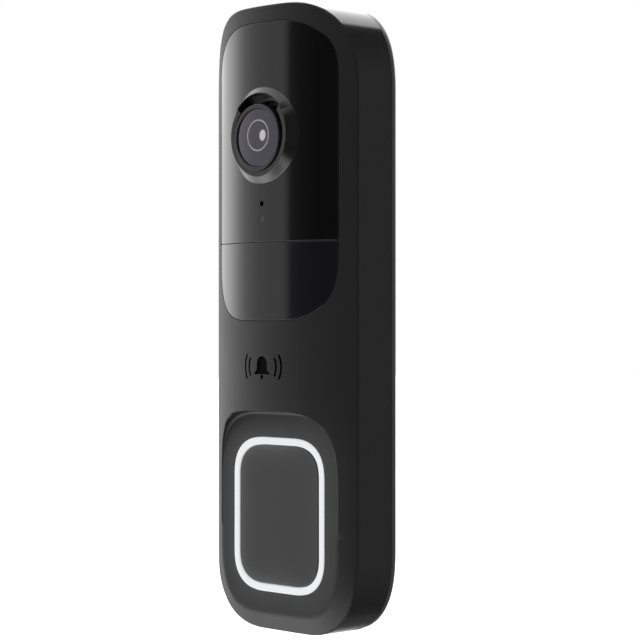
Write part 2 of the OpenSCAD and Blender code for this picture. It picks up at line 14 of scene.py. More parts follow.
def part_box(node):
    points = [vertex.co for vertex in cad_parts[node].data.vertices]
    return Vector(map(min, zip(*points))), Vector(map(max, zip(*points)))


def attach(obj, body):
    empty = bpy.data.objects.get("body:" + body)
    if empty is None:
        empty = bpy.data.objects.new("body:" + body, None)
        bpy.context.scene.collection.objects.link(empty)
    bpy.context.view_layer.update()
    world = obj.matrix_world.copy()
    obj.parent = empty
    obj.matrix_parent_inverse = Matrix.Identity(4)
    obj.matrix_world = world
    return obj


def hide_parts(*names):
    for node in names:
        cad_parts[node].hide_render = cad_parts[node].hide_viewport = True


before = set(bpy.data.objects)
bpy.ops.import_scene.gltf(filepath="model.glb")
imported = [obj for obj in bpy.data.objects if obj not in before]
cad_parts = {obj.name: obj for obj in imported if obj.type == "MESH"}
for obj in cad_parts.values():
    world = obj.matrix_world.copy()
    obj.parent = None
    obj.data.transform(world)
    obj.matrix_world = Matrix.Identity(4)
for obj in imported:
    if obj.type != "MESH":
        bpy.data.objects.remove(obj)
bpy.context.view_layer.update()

MM = 0.001


def box(node):
    low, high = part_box(node)
    return np.array(low) / MM, np.array(high) / MM


# ---------- sizes, from the frame ----------

casing_low, casing_high = box("front_casing")
HALF_W = casing_high[0]
HALF_H = casing_high[2]
APEX = -casing_low[1]
CASING_BACK = -casing_high[1]
BOW_R = 39.2
BOW_CENTRE = APEX - BOW_R
BODY_CORNER = (17, 20, 2.67)

upper_low, upper_high = box("camera_panel")
lower_low, lower_high = box("sensor_panel")
PANEL_HALF_W = upper_high[0]
PANEL_TOP_CORNER = (15.6, 11.9, 2.45)
PANEL_LOW_CORNER = (14.9, 15.2, 2.87)
PANEL_GAP = 0.12
PANEL_T = 1.4
MIC_HOLE_R = 0.6
PIPE_HOLE_R = 0.8

turret_low, turret_high = box("lens_turret")
TURRET_R = turret_high[0]
TURRET_Z = (turret_low[2] + turret_high[2]) / 2
TURRET_H = -turret_low[1]
TURRET_BACK = -turret_high[1]
BORE_R = 7.8
RIM_R = 8.94
BROW_R = 9.35
BROW_FADE = 1.5
NOTCH_ANGLE = math.radians(46)
POCKET_H = 17.6
POCKET_R = BROW_R - 0.3

barrel_low, barrel_high = box("lens_barrel")
BARREL_R = barrel_high[0]
BARREL_Z = (barrel_low[2] + barrel_high[2]) / 2
BARREL_H = -barrel_low[1]
GLASS_R = box("lens_glass")[1][0]
GLASS_APEX = -box("lens_glass")[0][1]
GLASS_RISE = 0.4
GLASS_EDGE = 0.18
LINE_R = 3.33
LINE_W = 0.3
LINE_MIDDLE = (0.5, BARREL_Z + 0.42)
MIC_Z = (box("mic_boot")[0][2] + box("mic_boot")[1][2]) / 2
LIGHT_Z = (box("light_pipe")[0][2] + box("light_pipe")[1][2]) / 2

guide_low, guide_high = box("light_guide")
GUIDE_FLANGE = 1.2
RING_HALF_W = guide_high[0] - GUIDE_FLANGE
RING_HALF_H = (guide_high[2] - guide_low[2]) / 2 - GUIDE_FLANGE
RING_Z = (guide_high[2] + guide_low[2]) / 2
RING_BAND = 1.54
RING_CORNER = (10.16, 9.09, 2.58)
CAP_HALF_W = box("button_cap")[1][0]
CAP_INSET = RING_HALF_W - CAP_HALF_W

SCOOP_H = 14.6
SCOOP_TOP = -20.35
SCOOP_CORNER = (16.65, 19.2, 3.7)
SCOOP_FILLET = 0.8
SIDE_FILLET = 0.15
# the fillet grows from the sides' size to its own between these heights
FILLET_FADE = (-34, -26)
WALL_STEEPNESS = 14
LOW_RIM_H = 12.7
LOW_SLOPE = 0.49

SIGN_Z = -10.3
SIGN_H = 6
SIGN_DEPTH = 0.35

SLOT_X = 12.7
SLOT_HALF = (2.4, 0.5)
SLOT_H = 3.5
SOUND_X = (-4, -2, 0, 2, 4)
SOUND_R = 0.6
SOUND_H = 6.4

plate_low, plate_high = box("mounting_plate")
PLATE_FRONT = 1.75
PLATE_HALF_W = plate_high[0]
PLATE_INSET = HALF_W - PLATE_HALF_W
OPENING = ((-13, 5), (13, 23))
SCREW_Z = 52
SCREW_R = 2.1

# ---------- outlines ----------


def squared(value, power):
    return np.sign(value) * np.abs(value) ** (2 / power)


def corner(centre, shape, start, steps):
    angle = np.radians(start + 90 * np.arange(steps) / steps)
    return np.column_stack((
        centre[0] + shape[0] * squared(np.cos(angle), shape[2]),
        centre[1] + shape[1] * squared(np.sin(angle), shape[2])))


def shrink(shape, inset):
    return (shape[0] - inset, shape[1] - inset, shape[2])


def outline(half, low, top, low_corner, top_corner, steps=70):
    """A closed outline in X and Z, counter-clockwise, with evenly spaced points."""
    loop = np.vstack((
        corner((half - top_corner[0], top - top_corner[1]), top_corner, 0, steps),
        corner((top_corner[0] - half, top - top_corner[1]), top_corner, 90, steps),
        corner((low_corner[0] - half, low + low_corner[1]), low_corner, 180, steps),
        corner((half - low_corner[0], low + low_corner[1]), low_corner, 270, steps)))
    return even(loop, steps * 4)


def even(loop, count):
    closed = np.vstack((loop, loop[:1]))
    run = np.concatenate(([0], np.cumsum(np.hypot(*np.diff(closed, axis=0).T))))
    at = np.linspace(0, run[-1], count, endpoint=False)
    return np.column_stack([np.interp(at, run, closed[:, k]) for k in (0, 1)])


def body_outline(inset=0.0, steps=90):
    shape = shrink(BODY_CORNER, inset)
    return outline(HALF_W - inset, inset - HALF_H, HALF_H - inset, shape, shape, steps)


def ring_outline(inset, steps=60):
    shape = shrink(RING_CORNER, inset)
    loop = outline(RING_HALF_W - inset, inset - RING_HALF_H, RING_HALF_H - inset,
                   shape, shape, steps)
    return loop + (0, RING_Z)


def panel_outline(inset=0.0, steps=70):
    return outline(PANEL_HALF_W - inset, lower_low[2] + inset, upper_high[2] - inset,
                   shrink(PANEL_LOW_CORNER, inset), shrink(PANEL_TOP_CORNER, inset), steps)


def circle(centre, radius, count=48):
    angle = np.linspace(0, 2 * math.pi, count, endpoint=False)
    return np.column_stack((centre[0] + radius * np.cos(angle),
                            centre[1] + radius * np.sin(angle)))


def cut_level(loop, level, keep_above):
    """The part of a closed outline on one side of a level line, closed along that line."""
    points = []
    for a, b in zip(loop, np.roll(loop, -1, axis=0)):
        if (a[1] > level) == keep_above:
            points.append(a)
        if (a[1] > level) != (b[1] > level):
            t = (level - a[1]) / (b[1] - a[1])
            points.append(a + t * (b - a))
    return even(np.array(points), len(loop))


def normals_2d(loop):
    """Outward unit normals of a counter-clockwise loop."""
    along = np.roll(loop, -1, axis=0) - np.roll(loop, 1, axis=0)
    length = np.hypot(along[:, 0], along[:, 1])[:, None]
    return np.column_stack((along[:, 1], -along[:, 0])) / length


def grown(loop, distance):
    return loop + normals_2d(loop) * distance


def inside(points, loop):
    x, z = points[:, 0], points[:, 1]
    result = np.zeros(len(points), bool)
    for (x0, z0), (x1, z1) in zip(loop, np.roll(loop, -1, axis=0)):
        if z0 != z1:
            crosses = ((z0 > z) != (z1 > z)) & (x < (x1 - x0) * (z - z0) / (z1 - z0) + x0)
            result ^= crosses
    return result


def distance(points, loop, closed=True):
    ends = np.roll(loop, -1, axis=0)
    starts = loop
    if not closed:
        starts, ends = loop[:-1], loop[1:]
    best = np.full(len(points), 1e9)
    for a, b in zip(starts, ends):
        along = b - a
        t = np.clip(((points - a) @ along) / (along @ along), 0, 1)
        gap = points - a - t[:, None] * along
        best = np.minimum(best, gap[:, 0] ** 2 + gap[:, 1] ** 2)
    return np.sqrt(best)


def signed(points, loop):
    """Distance to a closed loop, positive inside it."""
    return distance(points, loop) * np.where(inside(points, loop), 1, -1)


# ---------- heights of the front ----------


def smooth_min(a, b, width):
    h = np.clip(0.5 + 0.5 * (b - a) / width, 0, 1)
    return b + (a - b) * h - width * h * (1 - h)


def bow(x, inset=0.0):
    return BOW_CENTRE + np.sqrt((BOW_R - inset) ** 2 - np.minimum(np.abs(x), HALF_W) ** 2)


def edge_drop(depth, radius):
    """How far a rounded edge has dropped at this depth inside the outline."""
    near = np.clip(radius - depth, 0, radius)
    return radius - np.sqrt(radius ** 2 - near ** 2)


BODY_LOOP = body_outline(0.0, 50)
SCOOP_LOOP = outline(PANEL_HALF_W, -HALF_H - 4, SCOOP_TOP, (0.01, 0.01, 2), SCOOP_CORNER, 110)


def scoop_height(points):
    depth = signed(points, SCOOP_LOOP)
    radius = np.interp(points[:, 1], FILLET_FADE, (SIDE_FILLET, SCOOP_FILLET))
    near = np.clip(radius - depth, 0, radius)
    fillet = radius - np.sqrt(radius ** 2 - near ** 2)
    return SCOOP_H + fillet + np.clip(-depth, 0, None) * WALL_STEEPNESS


def casing_height(points):
    x, z = points[:, 0], points[:, 1]
    inner = signed(points, BODY_LOOP)
    border = LOW_RIM_H + LOW_SLOPE * np.clip(inner, 0, 12) + 0.25 * np.clip(z + 47, 0, None)
    height = smooth_min(bow(x), scoop_height(points), 0.22)
    height = smooth_min(height, border, 0.3)
    return height - edge_drop(inner, 0.35)


def arc(centre, radius, start, end, steps):
    angle = np.radians(np.linspace(start, end, steps))
    return np.column_stack((centre[0] + radius * np.cos(angle),
                            centre[1] + radius * np.sin(angle)))


def sign_outlines():
    """The bell sign: the bell, its clapper and two sound arcs on each side."""
    dome = SIGN_H * 0.27
    shoulder = SIGN_H * 0.12
    lip = SIGN_H * -0.27
    bell = np.vstack((arc((0, shoulder), dome, 0, 180, 25),
                      [(-dome * 1.05, -shoulder), (-dome * 1.7, lip), (dome * 1.7, lip),
                       (dome * 1.05, -shoulder)]))
    loops = [even(bell, 120), circle((0, SIGN_H * -0.37), SIGN_H * 0.08, 24)]
    for facing in (0, 180):
        for step in (0, 1):
            radius = SIGN_H * (0.68 + 0.24 * step)
            outer = arc((0, 0), radius + SIGN_H * 0.09, facing - 28, facing + 28, 30)
            inner = arc((0, 0), radius, facing + 28, facing - 28, 30)
            loops.append(np.vstack((outer, inner)))
    return [loop + (0, SIGN_Z) for loop in loops]


def turret_height(points):
    x, z = points[:, 0], points[:, 1] - TURRET_Z
    radius = np.hypot(x, z)
    base_x = x / np.maximum(radius, 1e-6) * TURRET_R
    base = bow(base_x) + 0.02
    turned = np.abs(np.arctan2(x, z))
    beside = (turned - NOTCH_ANGLE) * radius
    rim = BROW_R - (BROW_R - RIM_R) * np.clip(beside / BROW_FADE, 0, 1)
    t = np.clip((radius - rim) / (TURRET_R - rim), 0, 1)
    cone = TURRET_H + (base - TURRET_H) * t
    height = smooth_min(cone, np.full(len(x), TURRET_H), 0.12)
    pocket = POCKET_H + (np.clip(beside, 0, None) + np.clip(radius - POCKET_R, 0, None)) * 12
    height = smooth_min(height, pocket, 0.12)
    return height - edge_drop(radius - BORE_R, 0.12)


# ---------- meshes ----------


class Shape:
    """Collects surfaces with their own normals, in millimetres."""

    def __init__(self):
        self.points = []
        self.normals = []
        self.faces = []
        self.finishes = []
        self.count = 0
        self.finish = 0

    def add(self, points, normals, faces):
        self.points.append(np.asarray(points, float))
        self.normals.append(np.asarray(normals, float))
        self.faces += [[i + self.count for i in face] for face in faces]
        self.finishes += [self.finish] * len(faces)
        self.count += len(points)

    def front(self, flat, faces, height):
        """A surface given by its height over X and Z."""
        step = 0.01
        h = height(flat)
        dx = (height(flat + (step, 0)) - height(flat - (step, 0))) / (2 * step)
        dz = (height(flat + (0, step)) - height(flat - (0, step))) / (2 * step)
        normals = np.column_stack((-dx, -np.ones(len(h)), -dz))
        normals /= np.linalg.norm(normals, axis=1)[:, None]
        self.add(np.column_stack((flat[:, 0], -h, flat[:, 1])), normals, faces)

    def skirt(self, loop, top, bottom, outward=True):
        """A wall that follows a closed loop between two heights."""
        n = len(loop)
        normal = normals_2d(loop) * (1 if outward else -1)
        top = np.broadcast_to(top, n)
        bottom = np.broadcast_to(bottom, n)
        points = np.vstack((np.column_stack((loop[:, 0], -top, loop[:, 1])),
                            np.column_stack((loop[:, 0], -bottom, loop[:, 1]))))
        normals = np.column_stack((normal[:, 0], np.zeros(n), normal[:, 1]))
        self.add(points, np.vstack((normals, normals)), ring_faces(n, flip=not outward))

    def flat_ring(self, outer, inner, height, facing):
        """A flat band between two loops of the same count. facing is -1 to the front."""
        n = len(outer)
        points = np.vstack([np.column_stack((loop[:, 0], np.full(n, -height), loop[:, 1]))
                            for loop in (outer, inner)])
        normals = np.tile((0, facing, 0), (2 * n, 1))
        self.add(points, normals, ring_faces(n, flip=facing < 0))

    def build(self, name, materials, body, slot, *nodes):
        """materials is in the order of the finish numbers that the faces were added with."""
        points = np.vstack(self.points) * MM
        mesh = bpy.data.meshes.new(name)
        mesh.from_pydata(points.tolist(), [], self.faces)
        mesh.shade_smooth()
        mesh.polygons.foreach_set("material_index", self.finishes)
        mesh.normals_split_custom_set_from_vertices(np.vstack(self.normals).tolist())
        return place(mesh, name, materials, body, slot, *nodes)


def ring_faces(n, flip=False):
    faces = []
    for i in range(n):
        j = (i + 1) % n
        face = [i, n + i, n + j, j]
        faces.append(face[::-1] if flip else face)
    return faces


def place(mesh, name, materials, body, slot, *nodes):
    piece = bpy.data.objects.new(name, mesh)
    bpy.context.scene.collection.objects.link(piece)
    for made in materials:
        mesh.materials.append(made)
    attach(piece, body)
    if nodes:
        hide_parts(*nodes)
    return piece


def triangulate(outer, holes, extra):
    """Triangles that fill a loop, less its holes, through extra points on the way."""
    loops = [outer] + list(holes)
    coords, edges = [], []
    for loop in loops:
        start = len(coords)
        n = len(loop)
        coords += [tuple(p) for p in loop]
        edges += [(start + i, start + (i + 1) % n) for i in range(n)]
    spare = np.vstack(extra)
    keep = inside(spare, outer)
    for hole in holes:
        keep &= ~inside(spare, hole)
    coords += [tuple(p) for p in spare[keep]]
    vectors = [Vector(p) for p in coords]
    made, _, faces = geometry.delaunay_2d_cdt(vectors, edges, [], 0, 1e-4)[:3]
    flat = np.array([tuple(v) for v in made])
    faces = np.array(faces)
    middle = flat[faces].mean(axis=1)
    keep = inside(middle, outer)
    for hole in holes:
        keep &= ~inside(middle, hole)
    return flat, faces[keep].tolist()


def grid(low, high, step_x, step_z):
    x = np.arange(low[0], high[0], step_x)
    z = np.arange(low[1], high[1], step_z)
    return np.array([(a, b) for a in x for b in z])


def lathe(name, profile, centre_z, finish, body, slot, *nodes, segments=144, sharp=32):
    """Turns a profile of (radius, height) points round an axis along Y."""
    n = len(profile)
    points, faces = [], []
    for i in range(segments):
        angle = 2 * math.pi * i / segments
        for radius, height in profile:
            points.append((radius * math.sin(angle) * MM, -height * MM,
                           (centre_z + radius * math.cos(angle)) * MM))
    for i in range(segments):
        j = (i + 1) % segments
        for k in range(n - 1):
            faces.append((i * n + k, i * n + k + 1, j * n + k + 1, j * n + k))
    mesh = bpy.data.meshes.new(name)
    mesh.from_pydata(points, [], faces)
    mesh.shade_smooth()
    mesh.set_sharp_from_angle(angle=math.radians(sharp))
    return place(mesh, name, [finish], body, slot, *nodes)


def rounded(points, radius, steps=4):
    """Rounds the inner corners of an open profile."""
    result = [points[0]]
    for before, at, after in zip(points, points[1:], points[2:]):
        a, p, b = (np.array(q, float) for q in (before, at, after))
        back, ahead = a - p, b - p
        cut = min(radius, np.linalg.norm(back) / 2.1, np.linalg.norm(ahead) / 2.1)
        start = p + back / np.linalg.norm(back) * cut
        end = p + ahead / np.linalg.norm(ahead) * cut
        for i in range(steps + 1):
            t = i / steps
            result.append(tuple((1 - t) ** 2 * start + 2 * t * (1 - t) * p + t * t * end))
    result.append(points[-1])
    return result


# ---------- materials ----------


def material(name, color, roughness, metallic=0.0, grain=0.0, grain_scale=3000.0,
             mottle=0.0, ior=1.5, emission=None, strength=0.0):
    """A moulded or plated surface: fine grain as bump, and soft changes of roughness."""
    made = bpy.data.materials.new(name)
    made.use_nodes = True
    nodes, links = made.node_tree.nodes, made.node_tree.links
    shader = nodes["Principled BSDF"]
    shader.inputs["Base Color"].default_value = (*color, 1)
    shader.inputs["Roughness"].default_value = roughness
    shader.inputs["Metallic"].default_value = metallic
    shader.inputs["IOR"].default_value = ior
    if emission:
        shader.inputs["Emission Color"].default_value = (*emission, 1)
        shader.inputs["Emission Strength"].default_value = strength
    where = nodes.new("ShaderNodeTexCoord")
    fine = nodes.new("ShaderNodeTexNoise")
    fine.inputs["Scale"].default_value = grain_scale
    fine.inputs["Detail"].default_value = 3
    links.new(where.outputs["Object"], fine.inputs["Vector"])
    bump = nodes.new("ShaderNodeBump")
    bump.inputs["Strength"].default_value = grain
    bump.inputs["Distance"].default_value = 0.00005
    links.new(fine.outputs["Fac"], bump.inputs["Height"])
    links.new(bump.outputs["Normal"], shader.inputs["Normal"])
    broad = nodes.new("ShaderNodeTexNoise")
    broad.inputs["Scale"].default_value = 90
    broad.inputs["Detail"].default_value = 4
    links.new(where.outputs["Object"], broad.inputs["Vector"])
    spread = nodes.new("ShaderNodeMapRange")
    spread.inputs["To Min"].default_value = roughness * (1 - mottle)
    spread.inputs["To Max"].default_value = roughness * (1 + mottle)
    links.new(broad.outputs["Fac"], spread.inputs["Value"])
    links.new(spread.outputs["Result"], shader.inputs["Roughness"])
    return made


def tint_by_noise(made, other, scale):
    """Mixes the base colour with another one in soft patches."""
    nodes, links = made.node_tree.nodes, made.node_tree.links
    shader = nodes["Principled BSDF"]
    where = nodes.new("ShaderNodeTexCoord")
    noise = nodes.new("ShaderNodeTexNoise")
    noise.inputs["Scale"].default_value = scale
    mix = nodes.new("ShaderNodeMix")
    mix.data_type = "RGBA"
    mix.inputs["A"].default_value = shader.inputs["Base Color"].default_value
    mix.inputs["B"].default_value = (*other, 1)
    links.new(where.outputs["Object"], noise.inputs["Vector"])
    links.new(noise.outputs["Fac"], mix.inputs["Factor"])
    links.new(mix.outputs["Result"], shader.inputs["Base Color"])
    return made


def add_painted_glow(made, color):
    """Painted glow: emission that paints ring light onto the surface next to the ring, its
    strength kept in a point attribute.
    """
    nodes, links = made.node_tree.nodes, made.node_tree.links
    shader = nodes["Principled BSDF"]
    shader.inputs["Emission Color"].default_value = (*color, 1)
    painted_glow = nodes.new("ShaderNodeAttribute")
    painted_glow.attribute_name = "painted_glow"
    links.new(painted_glow.outputs["Fac"], shader.inputs["Emission Strength"])
    return made


def set_painted_glow(piece, loop, reach, strength, spill=0.0):
    """Writes the strength of the painted ring glow at each point of a piece, with a painted spill
    to its right.
    """
    points = np.array([tuple(v.co) for v in piece.data.vertices]) / MM
    flat = points[:, [0, 2]]
    near = np.abs(flat[:, 1] - RING_Z) < RING_HALF_H + 12
    away = np.full(len(flat), 99.0)
    away[near] = distance(flat[near], loop)
    right = np.clip(flat[:, 0] / 10, 0, 1)
    close = strength * (1 - 0.7 * right) * np.exp(-away / reach)
    value = close + spill * right * np.exp(-(away / 6) ** 2)
    layer = piece.data.attributes.new("painted_glow", "FLOAT", "POINT")
    layer.data.foreach_set("value", value)


# the casing plastic carries painted glow next to the ring, as emission
casing_plastic = add_painted_glow(material("casing_plastic", (0.005, 0.005, 0.0054), 0.55, grain=0.10,
                                   mottle=0.06), (0.95, 0.97, 1.0))
wall_finish = material("wall_finish", (0.004, 0.004, 0.0042), 0.14, mottle=0.06)
sign_black = material("sign_black", (0.002, 0.002, 0.002), 0.7, grain=0.02, mottle=0.1,
                      ior=1.12)
panel_gloss = material("panel_gloss", (0.001, 0.001, 0.0014), 0.03, mottle=0.1, ior=1.52)
sensor_gloss = material("sensor_gloss", (0.004, 0.004, 0.005), 0.05, grain=0.01, mottle=0.1)
turret_plastic = material("turret_plastic", (0.005, 0.005, 0.0055), 0.22, grain=0.05, mottle=0.1)
barrel_plastic = material("barrel_plastic", (0.006, 0.006, 0.0065), 0.36, grain=0.1, mottle=0.1)
# the button plastic carries painted glow next to its edge, as emission
cap_plastic = add_painted_glow(material("cap_plastic", (0.014, 0.014, 0.0145), 0.42, grain=0.10,
                                mottle=0.08), (0.95, 0.97, 1.0))
ring_light = material("ring_light", (0.25, 0.25, 0.255), 0.4, mottle=0.05,
                      emission=(0.97, 0.985, 1.0), strength=0.58)
plate_plastic = material("plate_plastic", (0.028, 0.028, 0.03), 0.45, grain=0.12, mottle=0.08)
cover_plastic = material("cover_plastic", (0.012, 0.012, 0.013), 0.5, grain=0.2, mottle=0.1)
dark_plastic = material("inner_plastic", (0.015, 0.015, 0.016), 0.45, grain=0.15, mottle=0.1)

# ---------- casing ----------


def casing():
    shape = Shape()
    body = body_outline()
    panel_hole = grown(panel_outline(), PANEL_GAP)
    ring_hole = grown(ring_outline(0), 0.05)
    signs = sign_outlines()
    near_body = inside(SCOOP_LOOP, body)
    scoop = SCOOP_LOOP[near_body]
    scoop_normals = normals_2d(SCOOP_LOOP)[near_body]
    extra = [grid((-HALF_W, -HALF_H), (HALF_W, HALF_H), 0.9, 1.7)]
    extra += [grown(body, -d) for d in (0.03, 0.08, 0.15, 0.24, 0.35, 0.6, 1.1, 2.0)]
    extra += [grown(body, -d) for d in (3.2, 3.5, 3.7, 3.85, 4.0, 4.2, 4.5)]
    extra += [grown(panel_hole, d) for d in (0.05, 0.12, 0.3, 0.8)]
    extra += [grown(ring_hole, d) for d in (0.1, 0.4, 0.9, 1.6)]
    extra += [scoop - scoop_normals * d for d in
              (-0.8, -0.35, -0.25, -0.15, -0.05, 0, 0.04, 0.1, 0.2, 0.32, 0.45, 0.6, 0.8, 1.0,
               1.3, 2.0)]
    extra += [grown(loop, d) for loop in signs for d in (0.04, 0.1)]
    flat, faces = triangulate(body, [panel_hole, ring_hole] + signs, extra)
    edges = (panel_hole[::2], ring_hole[::2])

    def height(points):
        drop = sum(edge_drop(-signed(points, edge), 0.12) for edge in edges)
        return casing_height(points) - drop

    shape.front(flat, faces, height)
    shape.skirt(panel_hole, height(panel_hole), bow(panel_hole[:, 0], PANEL_T), outward=False)
    shape.skirt(ring_hole, height(ring_hole), SCOOP_H - 2, outward=False)
    rebate = grown(body, -1.8)
    shape.flat_ring(body, rebate, CASING_BACK, 1)
    shape.skirt(rebate, CASING_BACK + 3.5, CASING_BACK, outward=False)
    shape.finish = 1
    casing_wall(shape, body, casing_height(body))
    shape.finish = 2
    for loop in signs:
        floor_flat, floor_faces = triangulate(loop, [], [grown(loop, -0.1)])
        shape.front(floor_flat, floor_faces, lambda points: bow(points[:, 0], SIGN_DEPTH))
        shape.skirt(loop, height(loop), bow(loop[:, 0], SIGN_DEPTH), outward=False)
    piece = shape.build("casing_shell", [casing_plastic, wall_finish, sign_black], "housing",
                        "casing_plastic", "front_casing")
    # painted glow on the casing round the ring, with a painted spill to its right
    set_painted_glow(piece, ring_outline(0.3, 40), 2.2, 0.032, 0.01)
    return piece


def casing_wall(shape, body, rim):
    """The side wall, laid out flat by its run along the outline, with the openings below."""
    n = len(body)
    closed = np.vstack((body, body[:1]))
    run = np.concatenate(([0], np.cumsum(np.hypot(*np.diff(closed, axis=0).T))))
    normal = normals_2d(body)
    normal = np.vstack((normal, normal[:1]))
    rim = np.append(rim, rim[0])
    low = np.where(closed[:, 1] < -HALF_H + 4)[0]

    def run_at(x):
        return np.interp(x, closed[low, 0], run[low])

    holes = []
    for side in (-1, 1):
        middle = run_at(side * SLOT_X)
        loop = outline(SLOT_HALF[0], -SLOT_HALF[1], SLOT_HALF[1], (0.3, 0.3, 2), (0.3, 0.3, 2), 8)
        holes.append(loop + (middle, SLOT_H))
    holes += [circle((run_at(x), SOUND_H), SOUND_R, 24) for x in SOUND_X]
    outer = np.vstack((np.column_stack((run, np.full(n + 1, CASING_BACK))),
                       np.column_stack((run, rim))[::-1]))
    levels = [np.column_stack((run, CASING_BACK + (rim - CASING_BACK) * t)) for t in
              (0.02, 0.1, 0.25, 0.4, 0.6, 0.8, 0.95)]
    flat, faces = triangulate(outer, holes, levels)

    def lifted(points, depth=0.0):
        x = np.interp(points[:, 0], run, closed[:, 0])
        z = np.interp(points[:, 0], run, closed[:, 1])
        nx = np.interp(points[:, 0], run, normal[:, 0])
        nz = np.interp(points[:, 0], run, normal[:, 1])
        length = np.hypot(nx, nz)
        nx, nz = nx / length, nz / length
        where = np.column_stack((x - nx * depth, -points[:, 1], z - nz * depth))
        return where, np.column_stack((nx, np.zeros(len(nx)), nz))

    where, normals = lifted(flat)
    shape.add(where, normals, faces)
    for hole in holes:
        top, inward = lifted(hole)
        bottom, _ = lifted(hole, 2.0)
        side = -normals_2d(hole)
        along = np.column_stack((-inward[:, 2], inward[:, 1], inward[:, 0]))
        wall = along * side[:, :1]
        wall[:, 1] = -side[:, 1]
        shape.add(np.vstack((top, bottom)), np.vstack((wall, wall)),
                  ring_faces(len(hole), flip=True))


casing()


# ---------- glossy panels ----------


def glossy_panel(name, loop, holes, surface, node):
    shape = Shape()
    extra = [grid((-PANEL_HALF_W, loop[:, 1].min()), (PANEL_HALF_W, loop[:, 1].max()), 0.8, 2.2)]
    extra += [grown(loop, -d) for d in (0.03, 0.08, 0.15, 0.4)]
    extra += [grown(hole, d) for hole in holes for d in (0.04, 0.12, 0.4)]
    flat, faces = triangulate(loop, holes, extra)

    def height(points):
        return bow(points[:, 0]) - edge_drop(signed(points, loop[::2]), 0.14)

    shape.front(flat, faces, height)
    shape.skirt(loop, height(loop), bow(loop[:, 0], PANEL_T))
    for hole in holes:
        shape.skirt(hole, bow(hole[:, 0]), bow(hole[:, 0], PANEL_T), outward=False)
    return shape.build(name, [surface], "housing", name.replace("_cover", ""), node)


def panels():
    whole = panel_outline(0.0, 110)
    upper = cut_level(whole, upper_low[2], True)
    lower = cut_level(whole, lower_high[2], False)
    upper_holes = [circle((0, TURRET_Z), TURRET_R + 0.03, 120),
                    circle((0, MIC_Z), MIC_HOLE_R, 32), circle((0, LIGHT_Z), PIPE_HOLE_R, 32)]
    glossy_panel("panel_gloss_cover", upper, upper_holes, panel_gloss, "camera_panel")
    glossy_panel("sensor_gloss_cover", lower, [], sensor_gloss, "sensor_panel")


panels()


# ---------- camera ----------


def turret():
    shape = Shape()
    turns = np.concatenate((np.linspace(-math.pi, math.pi, 220, endpoint=False),
                            *[side * NOTCH_ANGLE + np.linspace(-0.03, 0.03, 13)
                              for side in (-1, 1)]))
    turns = np.unique(np.round(turns, 5))
    steps = BORE_R + np.array([0, 0.03, 0.07, 0.12, 0.3, 0.6, 0.9, 1.0, 1.08, 1.14, 1.18, 1.22,
                               1.26, 1.3, 1.36, 1.42, 1.48, 1.54, 1.6, 1.7, 1.9, 2.3, 2.6,
                               TURRET_R - BORE_R])
    flat = np.array([(r * math.sin(t), TURRET_Z + r * math.cos(t)) for t in turns for r in steps])
    m, n = len(steps), len(turns)
    faces = [(i * m + k, (i + 1) % n * m + k, (i + 1) % n * m + k + 1, i * m + k + 1)
             for i in range(n) for k in range(m - 1)]
    shape.front(flat, faces, turret_height)
    bore = np.array([(BORE_R * math.sin(t), TURRET_Z + BORE_R * math.cos(t)) for t in -turns])
    shape.skirt(bore, turret_height(bore), TURRET_BACK, outward=False)
    base = np.array([(TURRET_R * math.sin(t), TURRET_Z + TURRET_R * math.cos(t)) for t in -turns])
    shape.skirt(base, turret_height(base), TURRET_BACK)
    shape.build("turret_dish", [turret_plastic], "housing", "turret_plastic", "lens_turret")


def barrel():
    inner = GLASS_R + 0.05
    profile = rounded([(BARREL_R, TURRET_BACK), (BARREL_R, BARREL_H), (inner, BARREL_H),
                       (inner, BARREL_H - 0.5), (inner - 0.3, BARREL_H - 2.2),
                       (0.01, BARREL_H - 2.3)], 0.18)
    lathe("barrel_tube", profile, BARREL_Z, barrel_plastic, "housing", "barrel_plastic",
          "lens_barrel")


turret()
barrel()


def coated_glass():
    made = bpy.data.materials.new("coated_glass")
    made.use_nodes = True
    nodes, links = made.node_tree.nodes, made.node_tree.links
    shader = nodes["Principled BSDF"]
    shader.inputs["Base Color"].default_value = (0.014, 0.011, 0.021, 1)
    shader.inputs["Roughness"].default_value = 0.04
    shader.inputs["IOR"].default_value = 1.6
    shader.inputs["Coat Weight"].default_value = 0.2
    shader.inputs["Coat Tint"].default_value = (0.8, 0.72, 1.0, 1)
    where = nodes.new("ShaderNodeTexCoord")
    noise = nodes.new("ShaderNodeTexNoise")
    noise.inputs["Scale"].default_value = 160
    bump = nodes.new("ShaderNodeBump")
    bump.inputs["Strength"].default_value = 0.01
    bump.inputs["Distance"].default_value = 0.00005
    links.new(where.outputs["Object"], noise.inputs["Vector"])
    links.new(noise.outputs["Fac"], bump.inputs["Height"])
    links.new(bump.outputs["Normal"], shader.inputs["Normal"])
    return made


def glass_height(radius):
    """The front of the glass: a shallow dome with a rounded edge."""
    dome_r = (GLASS_R ** 2 + GLASS_RISE ** 2) / (2 * GLASS_RISE)
    dome = GLASS_APEX - dome_r + np.sqrt(dome_r ** 2 - radius ** 2)
    return dome - edge_drop(GLASS_R - radius, GLASS_EDGE)


def glass():
    steps = 40
    radii = GLASS_R * np.sin(math.pi / 2 * np.arange(steps, 0, -1) / steps)
    profile = [(GLASS_R, GLASS_APEX - 1.6)] + [(r, glass_height(r)) for r in radii]
    profile.append((0.001, GLASS_APEX))
    lathe("front_glass", profile, BARREL_Z, coated_glass(), "housing", "lens_glass", "lens_glass")


